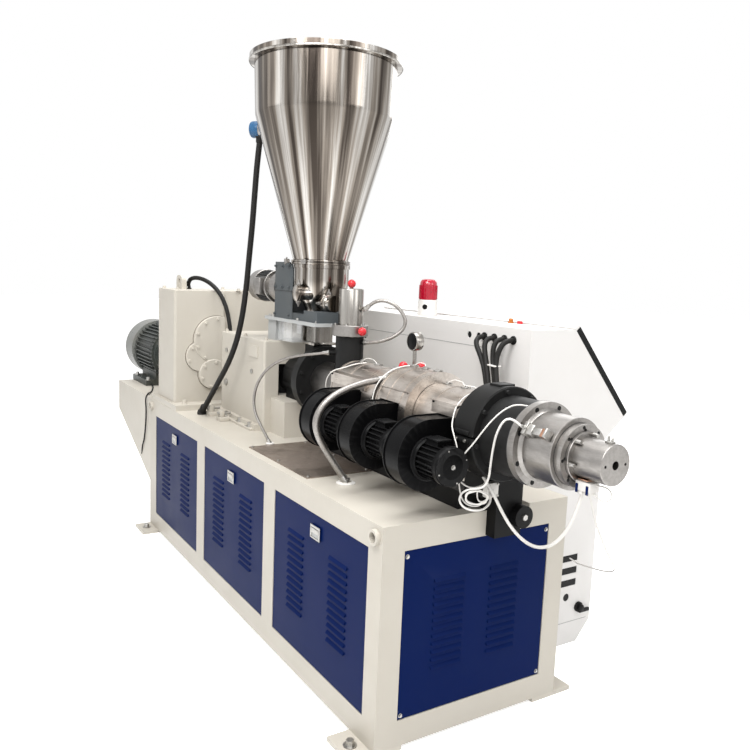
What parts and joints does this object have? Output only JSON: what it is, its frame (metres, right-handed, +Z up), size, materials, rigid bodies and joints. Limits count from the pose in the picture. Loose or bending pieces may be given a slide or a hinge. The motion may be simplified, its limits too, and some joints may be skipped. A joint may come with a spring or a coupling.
{
  "type": "plastic extruder",
  "caption": "Floor-standing twin-screw plastic extruder: motor, gearboxes, covered barrel with side blowers, vent, feeder and tall hopper, die adapter, desk cabinet beside it.",
  "frame": {"origin": "on the floor, at the centre of the four anchor holes of the base", "axes": "+X along the screws towards the die, +Y towards the operator's cabinet, +Z up"},
  "size_m": [3.812, 1.422, 2.336],
  "materials": {
    "cream_paint": "semi-gloss off-white machine paint",
    "blue_paint": "semi-gloss deep blue sheet paint",
    "black_steel": "blackened steel with a low sheen",
    "grey_paint": "light grey cabinet paint",
    "motor_green": "dark grey-green motor paint",
    "cowl_grey": "light grey cowl paint",
    "gear_grey": "blue-grey gear housing paint",
    "stainless": "bright stainless sheet",
    "bare_steel": "machined bare steel",
    "brown_steel": "mill-finish plate, slightly browned",
    "aluminium": "machined aluminium",
    "knob_red": "glossy red ball knobs",
    "gauge": "chrome gauge case",
    "beacon_red": "red beacon dome on a white base",
    "hose_rubber": "black rubber hose or cable sheath",
    "braid": "braided steel hose",
    "lead_white": "white insulated lead"
  },
  "bodies": {
    "root": {"access_plate": "brown_steel", "adapter_ring": "black_steel", "barrel": "bare_steel", "barrel_pedestal": "cream_paint", "base_frame": "cream_paint", "beacon": "beacon_red", "bearing_covers": "cream_paint", "blower_front": "black_steel", "blower_middle": "black_steel", "blower_motors": "black_steel", "blower_rear": "black_steel", "braided_hose": "braid", "cabinet_cables": "hose_rubber", "control_cabinet": "grey_paint", "control_panel": "grey_paint", "die_adapter": "aluminium", "die_flange": "aluminium", "die_lead": "lead_white", "distribution_gearbox": "cream_paint", "far_doors": "blue_paint", "feed_chute": "stainless", "feed_pot": "stainless", "feed_throat": "black_steel", "feeder_base_plate": "cowl_grey", "feeder_housing": "gear_grey", "feeder_motor": "gear_grey", "foot_plates": "cream_paint", "front_clamp": "black_steel", "front_panel": "blue_paint", "gearbox_cable": "hose_rubber", "heater_cover_front": "stainless", "heater_cover_middle": "stainless", "heater_cover_rear": "stainless", "heater_plugs": "aluminium", "hopper": "stainless", "level_sensor": "aluminium", "lifting_lug": "cream_paint", "main_motor": "motor_green", "motor_coupling": "bare_steel", "motor_fan_cowl": "cowl_grey", "motor_lead": "hose_rubber", "motor_platform": "cream_paint", "near_door_front": "blue_paint", "near_door_middle": "blue_paint", "near_door_rear": "blue_paint", "nozzle": "aluminium", "pressure_gauge": "gauge", "rear_flange": "black_steel", "reduction_gearbox": "cream_paint", "sensor_conduit": "braid", "support_bracket": "black_steel", "support_rail": "black_steel", "thin_hose": "hose_rubber", "valve_block": "black_steel", "valve_knobs": "knob_red", "vent_base": "black_steel", "vent_hose": "hose_rubber", "vent_pot": "stainless", "vent_ring": "aluminium"}
  },
  "joints": []
}
